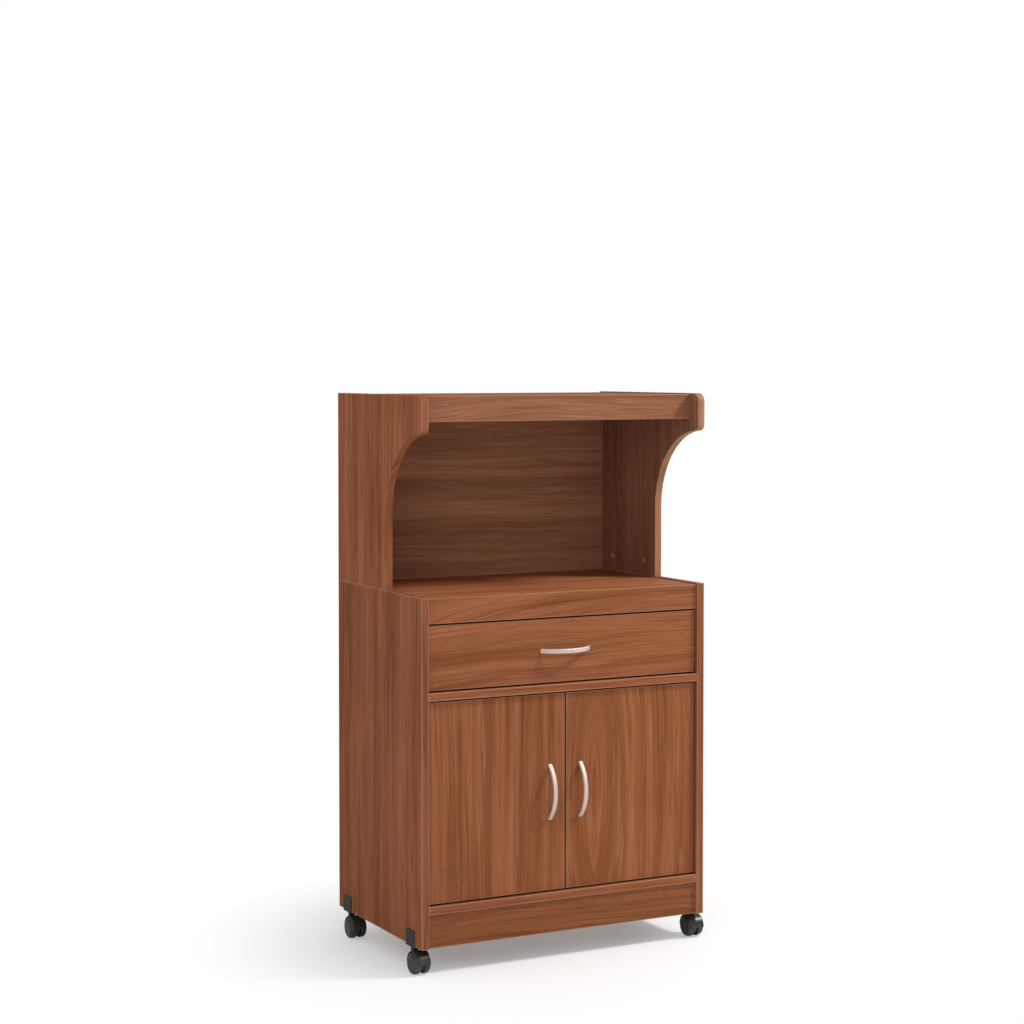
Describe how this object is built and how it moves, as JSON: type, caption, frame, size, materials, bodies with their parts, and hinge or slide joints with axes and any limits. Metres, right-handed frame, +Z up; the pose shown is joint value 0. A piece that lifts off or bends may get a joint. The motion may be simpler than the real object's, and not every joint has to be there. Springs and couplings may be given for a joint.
{
  "type": "microwave stand",
  "caption": "Wheeled wooden stand with an open microwave bay under a raised top on arched sides, a drawer and a cupboard behind hinged doors.",
  "frame": {"origin": "on the floor under the centre of the whole stand, handles included", "axes": "+X to the right of someone facing the front, the front faces -Y, +Z up"},
  "size_m": [0.63, 0.401, 1.071],
  "materials": {
    "cherry_laminate": "semi-gloss wood-grain laminate",
    "drawer_board": "satin wood-grain foil",
    "hardboard": "smooth hardboard",
    "beech_dowel": "raw beech",
    "satin_metal": "satin silver",
    "steel": "zinc-plated",
    "black_steel": "black oxide",
    "zinc": "bright cast zinc",
    "runner_plastic": "moulded brown plastic",
    "catch_plastic": "moulded brown plastic",
    "bracket_black": "black paint",
    "caster_black": "semi-gloss black nylon",
    "wheel_black": "black nylon"
  },
  "bodies": {
    "cabinet": {"side_panel_left": "cherry_laminate", "side_panel_right": "cherry_laminate", "tabletop": "cherry_laminate", "apron": "cherry_laminate", "divider": "cherry_laminate", "bottom_panel": "cherry_laminate", "plinth": "cherry_laminate", "shelf": "cherry_laminate", "hutch_side_left": "cherry_laminate", "hutch_side_right": "cherry_laminate", "hutch_top": "cherry_laminate", "header": "cherry_laminate", "hutch_back": "cherry_laminate", "base_back": "hardboard", "hutch_dowels": "beech_dowel", "hutch_cam_nuts": "zinc", "shelf_supports": "zinc", "hutch_cam_bolts": "steel", "drawer_runner_left": "runner_plastic", "drawer_runner_right": "runner_plastic", "door_catches": "catch_plastic", "caster_brackets": "bracket_black"},
    "drawer": {"drawer_front": "cherry_laminate", "drawer_side_left": "drawer_board", "drawer_side_right": "drawer_board", "drawer_back": "drawer_board", "drawer_bottom": "hardboard", "drawer_handle": "satin_metal", "drawer_handle_screws": "steel"},
    "left_door": {"door_left": "cherry_laminate", "door_handle_left": "satin_metal", "door_handle_screws_left": "steel", "strike_plate_left": "steel", "door_pins_left": "black_steel"},
    "right_door": {"door_right": "cherry_laminate", "door_handle_right": "satin_metal", "door_handle_screws_right": "steel", "strike_plate_right": "steel", "door_pins_right": "black_steel"},
    "caster_front_left": {"caster_hood_front_left": "caster_black", "caster_stem_front_left": "steel", "caster_axle_front_left": "steel"},
    "wheel_front_left_outer": {"caster_wheel_front_left_outer": "wheel_black"},
    "wheel_front_left_inner": {"caster_wheel_front_left_inner": "wheel_black"},
    "caster_rear_left": {"caster_hood_rear_left": "caster_black", "caster_stem_rear_left": "steel", "caster_axle_rear_left": "steel"},
    "wheel_rear_left_outer": {"caster_wheel_rear_left_outer": "wheel_black"},
    "wheel_rear_left_inner": {"caster_wheel_rear_left_inner": "wheel_black"},
    "caster_front_right": {"caster_hood_front_right": "caster_black", "caster_stem_front_right": "steel", "caster_axle_front_right": "steel"},
    "wheel_front_right_outer": {"caster_wheel_front_right_outer": "wheel_black"},
    "wheel_front_right_inner": {"caster_wheel_front_right_inner": "wheel_black"},
    "caster_rear_right": {"caster_hood_rear_right": "caster_black", "caster_stem_rear_right": "steel", "caster_axle_rear_right": "steel"},
    "wheel_rear_right_outer": {"caster_wheel_rear_right_outer": "wheel_black"},
    "wheel_rear_right_inner": {"caster_wheel_rear_right_inner": "wheel_black"}
  },
  "joints": [
    {"name": "drawer_slide", "type": "slide", "parent": "cabinet", "child": "drawer", "axis": [0, -1, 0], "range_m": [0, 0.24]},
    {"name": "left_door_hinge", "type": "hinge", "parent": "cabinet", "child": "left_door", "pos_m": [-0.2725, -0.169, 0.31825], "axis": [0, 0, -1], "range_deg": [0, 110]},
    {"name": "right_door_hinge", "type": "hinge", "parent": "cabinet", "child": "right_door", "pos_m": [0.2725, -0.169, 0.31825], "axis": [0, 0, 1], "range_deg": [0, 110]},
    {"name": "caster_swivel_front_left", "type": "hinge", "parent": "cabinet", "child": "caster_front_left", "pos_m": [-0.2975, -0.1355, 0.046], "axis": [0, 0, 1], "continuous": true},
    {"name": "wheel_spin_front_left_outer", "type": "hinge", "parent": "caster_front_left", "child": "wheel_front_left_outer", "pos_m": [-0.30825, -0.1545, 0.02], "axis": [1, 0, 0], "continuous": true},
    {"name": "wheel_spin_front_left_inner", "type": "hinge", "parent": "caster_front_left", "child": "wheel_front_left_inner", "pos_m": [-0.28675, -0.1545, 0.02], "axis": [1, 0, 0], "continuous": true},
    {"name": "caster_swivel_rear_left", "type": "hinge", "parent": "cabinet", "child": "caster_rear_left", "pos_m": [-0.2975, 0.1575, 0.046], "axis": [0, 0, 1], "continuous": true},
    {"name": "wheel_spin_rear_left_outer", "type": "hinge", "parent": "caster_rear_left", "child": "wheel_rear_left_outer", "pos_m": [-0.30825, 0.1385, 0.02], "axis": [1, 0, 0], "continuous": true},
    {"name": "wheel_spin_rear_left_inner", "type": "hinge", "parent": "caster_rear_left", "child": "wheel_rear_left_inner", "pos_m": [-0.28675, 0.1385, 0.02], "axis": [1, 0, 0], "continuous": true},
    {"name": "caster_swivel_front_right", "type": "hinge", "parent": "cabinet", "child": "caster_front_right", "pos_m": [0.2975, -0.1355, 0.046], "axis": [0, 0, 1], "continuous": true},
    {"name": "wheel_spin_front_right_outer", "type": "hinge", "parent": "caster_front_right", "child": "wheel_front_right_outer", "pos_m": [0.30825, -0.1545, 0.02], "axis": [1, 0, 0], "continuous": true},
    {"name": "wheel_spin_front_right_inner", "type": "hinge", "parent": "caster_front_right", "child": "wheel_front_right_inner", "pos_m": [0.28675, -0.1545, 0.02], "axis": [1, 0, 0], "continuous": true},
    {"name": "caster_swivel_rear_right", "type": "hinge", "parent": "cabinet", "child": "caster_rear_right", "pos_m": [0.2975, 0.1575, 0.046], "axis": [0, 0, 1], "continuous": true},
    {"name": "wheel_spin_rear_right_outer", "type": "hinge", "parent": "caster_rear_right", "child": "wheel_rear_right_outer", "pos_m": [0.30825, 0.1385, 0.02], "axis": [1, 0, 0], "continuous": true},
    {"name": "wheel_spin_rear_right_inner", "type": "hinge", "parent": "caster_rear_right", "child": "wheel_rear_right_inner", "pos_m": [0.28675, 0.1385, 0.02], "axis": [1, 0, 0], "continuous": true}
  ]
}
